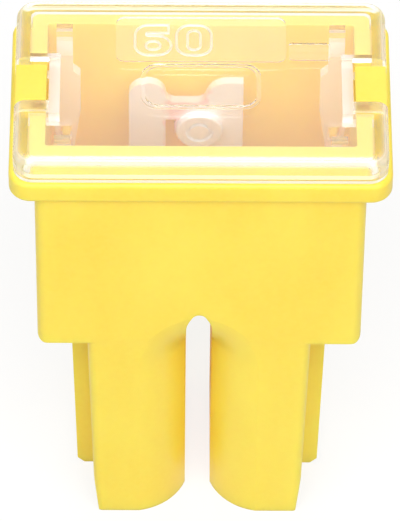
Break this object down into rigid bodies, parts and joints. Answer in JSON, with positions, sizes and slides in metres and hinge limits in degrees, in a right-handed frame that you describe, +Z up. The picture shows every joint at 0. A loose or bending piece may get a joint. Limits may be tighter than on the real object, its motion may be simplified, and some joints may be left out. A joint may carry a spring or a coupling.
{
  "type": "automotive cartridge fuse",
  "caption": "Plug-in automotive cartridge fuse: yellow moulded housing with twin blade sockets, clear clip-on cover, and a folded copper link carrying a tin pellet.",
  "frame": {"origin": "centre of the footprint, at the ends of the sockets", "axes": "+Z up from the sockets' ends to the cover, +X across the sockets, -Y the front; the link's flat sheet stands at the back"},
  "size_m": [0.021, 0.0128, 0.0302],
  "materials": {
    "housing_plastic": "semi-gloss translucent moulding",
    "clear_plastic": "clear, polished",
    "plated_copper": "satin tin plate, bare copper at the link",
    "tin": "dull cast tin",
    "spring_steel": "satin stainless spring strip"
  },
  "bodies": {
    "root": {"housing": "housing_plastic", "cover": "clear_plastic", "fuse_element": "plated_copper", "tin_pellet": "tin", "contact_spring_left": "spring_steel", "contact_spring_right": "spring_steel"}
  },
  "joints": []
}
